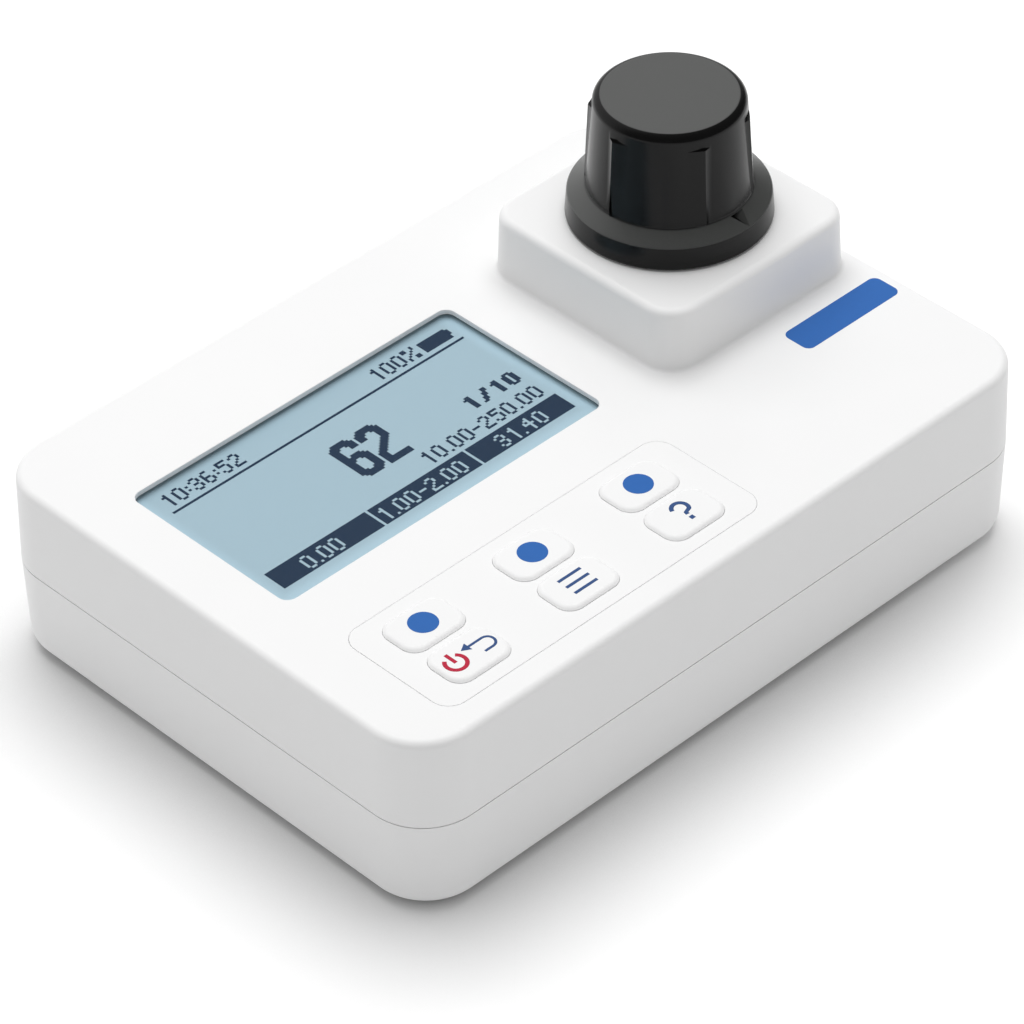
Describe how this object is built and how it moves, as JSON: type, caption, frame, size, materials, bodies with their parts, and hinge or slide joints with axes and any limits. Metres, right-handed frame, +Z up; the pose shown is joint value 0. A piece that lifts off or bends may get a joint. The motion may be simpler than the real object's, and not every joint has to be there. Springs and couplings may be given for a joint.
{
  "type": "portable photometer",
  "caption": "Portable photometer: a low sealed case with a display window, a keypad and a raised optical well that holds a glass cuvette under a black screw cap.",
  "frame": {"origin": "middle of the case's footprint, at the height of the feet's soles", "axes": "+X along the case's long side, from the display towards the well; +Y away from the user; +Z up"},
  "size_m": [0.1424, 0.1024, 0.0715],
  "materials": {
    "housing_white": "smooth moulded",
    "key_white": "fine satin",
    "keypad_white": "fine satin",
    "window_clear": "polished clear",
    "display_glass": "liquid crystal cell with polariser",
    "backlight_white": "diffuser",
    "frame_black": "moulded",
    "cap_black": "polished with a grained top",
    "liner_white": "foam",
    "gasket_rubber": "soft",
    "foot_rubber": "soft",
    "screw_steel": "zinc plated",
    "contact_steel": "nickel plated",
    "cell_jacket": "printed sleeve",
    "board_green": "solder mask",
    "chip_black": "moulded",
    "connector_white": "moulded",
    "holder_black": "dull moulded",
    "optic_glass": "polished",
    "filter_glass": "coated",
    "sensor_metal": "plated can",
    "cuvette_glass": "polished"
  },
  "bodies": {
    "housing": {"upper_housing": "housing_white", "lower_housing": "housing_white", "housing_gasket": "gasket_rubber", "well_gasket": "gasket_rubber", "rubber_feet": "foot_rubber", "housing_screws": "screw_steel", "board_screws": "screw_steel", "cell_holder_screws": "screw_steel", "bench_board_screws": "screw_steel", "battery_cell_1": "cell_jacket", "battery_cell_2": "cell_jacket", "battery_cell_3": "cell_jacket", "battery_contacts": "contact_steel", "display_window": "window_clear", "display_glass": "display_glass", "display_backlight": "backlight_white", "display_frame": "frame_black", "keypad_overlay": "keypad_white", "tact_switches": "chip_black", "main_board": "board_green", "source_board": "board_green", "detector_board": "board_green", "processor": "chip_black", "board_chips": "chip_black", "board_connectors": "connector_white", "beeper": "chip_black", "cell_holder": "holder_black", "bench_covers": "holder_black", "focusing_lens": "optic_glass", "beam_splitter": "optic_glass", "source_led": "optic_glass", "reference_detector": "sensor_metal", "interference_filter": "filter_glass", "photodetector": "sensor_metal"},
    "cuvette": {"cuvette": "cuvette_glass"},
    "cap_liner": {"cap_liner": "liner_white"},
    "cuvette_cap": {"cuvette_cap": "cap_black"},
    "battery_cover": {"battery_cover": "housing_white", "battery_cover_seal": "gasket_rubber"},
    "key_left": {"key_left": "key_white"},
    "key_middle": {"key_middle": "key_white"},
    "key_right": {"key_right": "key_white"},
    "key_power": {"key_power": "key_white"},
    "key_menu": {"key_menu": "key_white"},
    "key_help": {"key_help": "key_white"}
  },
  "joints": [
    {"name": "key_left_press", "type": "slide", "parent": "housing", "child": "key_left", "axis": [0, 0, -1], "range_m": [0, 0.0005], "stiffness_N_per_m": 2000, "springref_m": -0.0002},
    {"name": "key_middle_press", "type": "slide", "parent": "housing", "child": "key_middle", "axis": [0, 0, -1], "range_m": [0, 0.0005], "stiffness_N_per_m": 2000, "springref_m": -0.0002},
    {"name": "key_right_press", "type": "slide", "parent": "housing", "child": "key_right", "axis": [0, 0, -1], "range_m": [0, 0.0005], "stiffness_N_per_m": 2000, "springref_m": -0.0002},
    {"name": "key_power_press", "type": "slide", "parent": "housing", "child": "key_power", "axis": [0, 0, -1], "range_m": [0, 0.0005], "stiffness_N_per_m": 2000, "springref_m": -0.0002},
    {"name": "key_menu_press", "type": "slide", "parent": "housing", "child": "key_menu", "axis": [0, 0, -1], "range_m": [0, 0.0005], "stiffness_N_per_m": 2000, "springref_m": -0.0002},
    {"name": "key_help_press", "type": "slide", "parent": "housing", "child": "key_help", "axis": [0, 0, -1], "range_m": [0, 0.0005], "stiffness_N_per_m": 2000, "springref_m": -0.0002},
    {"name": "cuvette_lift", "type": "slide", "parent": "housing", "child": "cuvette", "axis": [0, 0, 1], "range_m": [0, 0.06]},
    {"name": "cap_lift", "type": "slide", "parent": "cuvette", "child": "cap_liner", "axis": [0, 0, 1], "range_m": [0, 0.03]},
    {"name": "cap_turn", "type": "hinge", "parent": "cap_liner", "child": "cuvette_cap", "pos_m": [0.0462, 0.01005, 0.0715], "axis": [0, 0, 1], "range_deg": [0, 360]},
    {"name": "battery_cover_turn", "type": "hinge", "parent": "housing", "child": "battery_cover", "pos_m": [-0.026, 0, 0.0009], "axis": [0, 0, -1], "range_deg": [0, 40]}
  ]
}
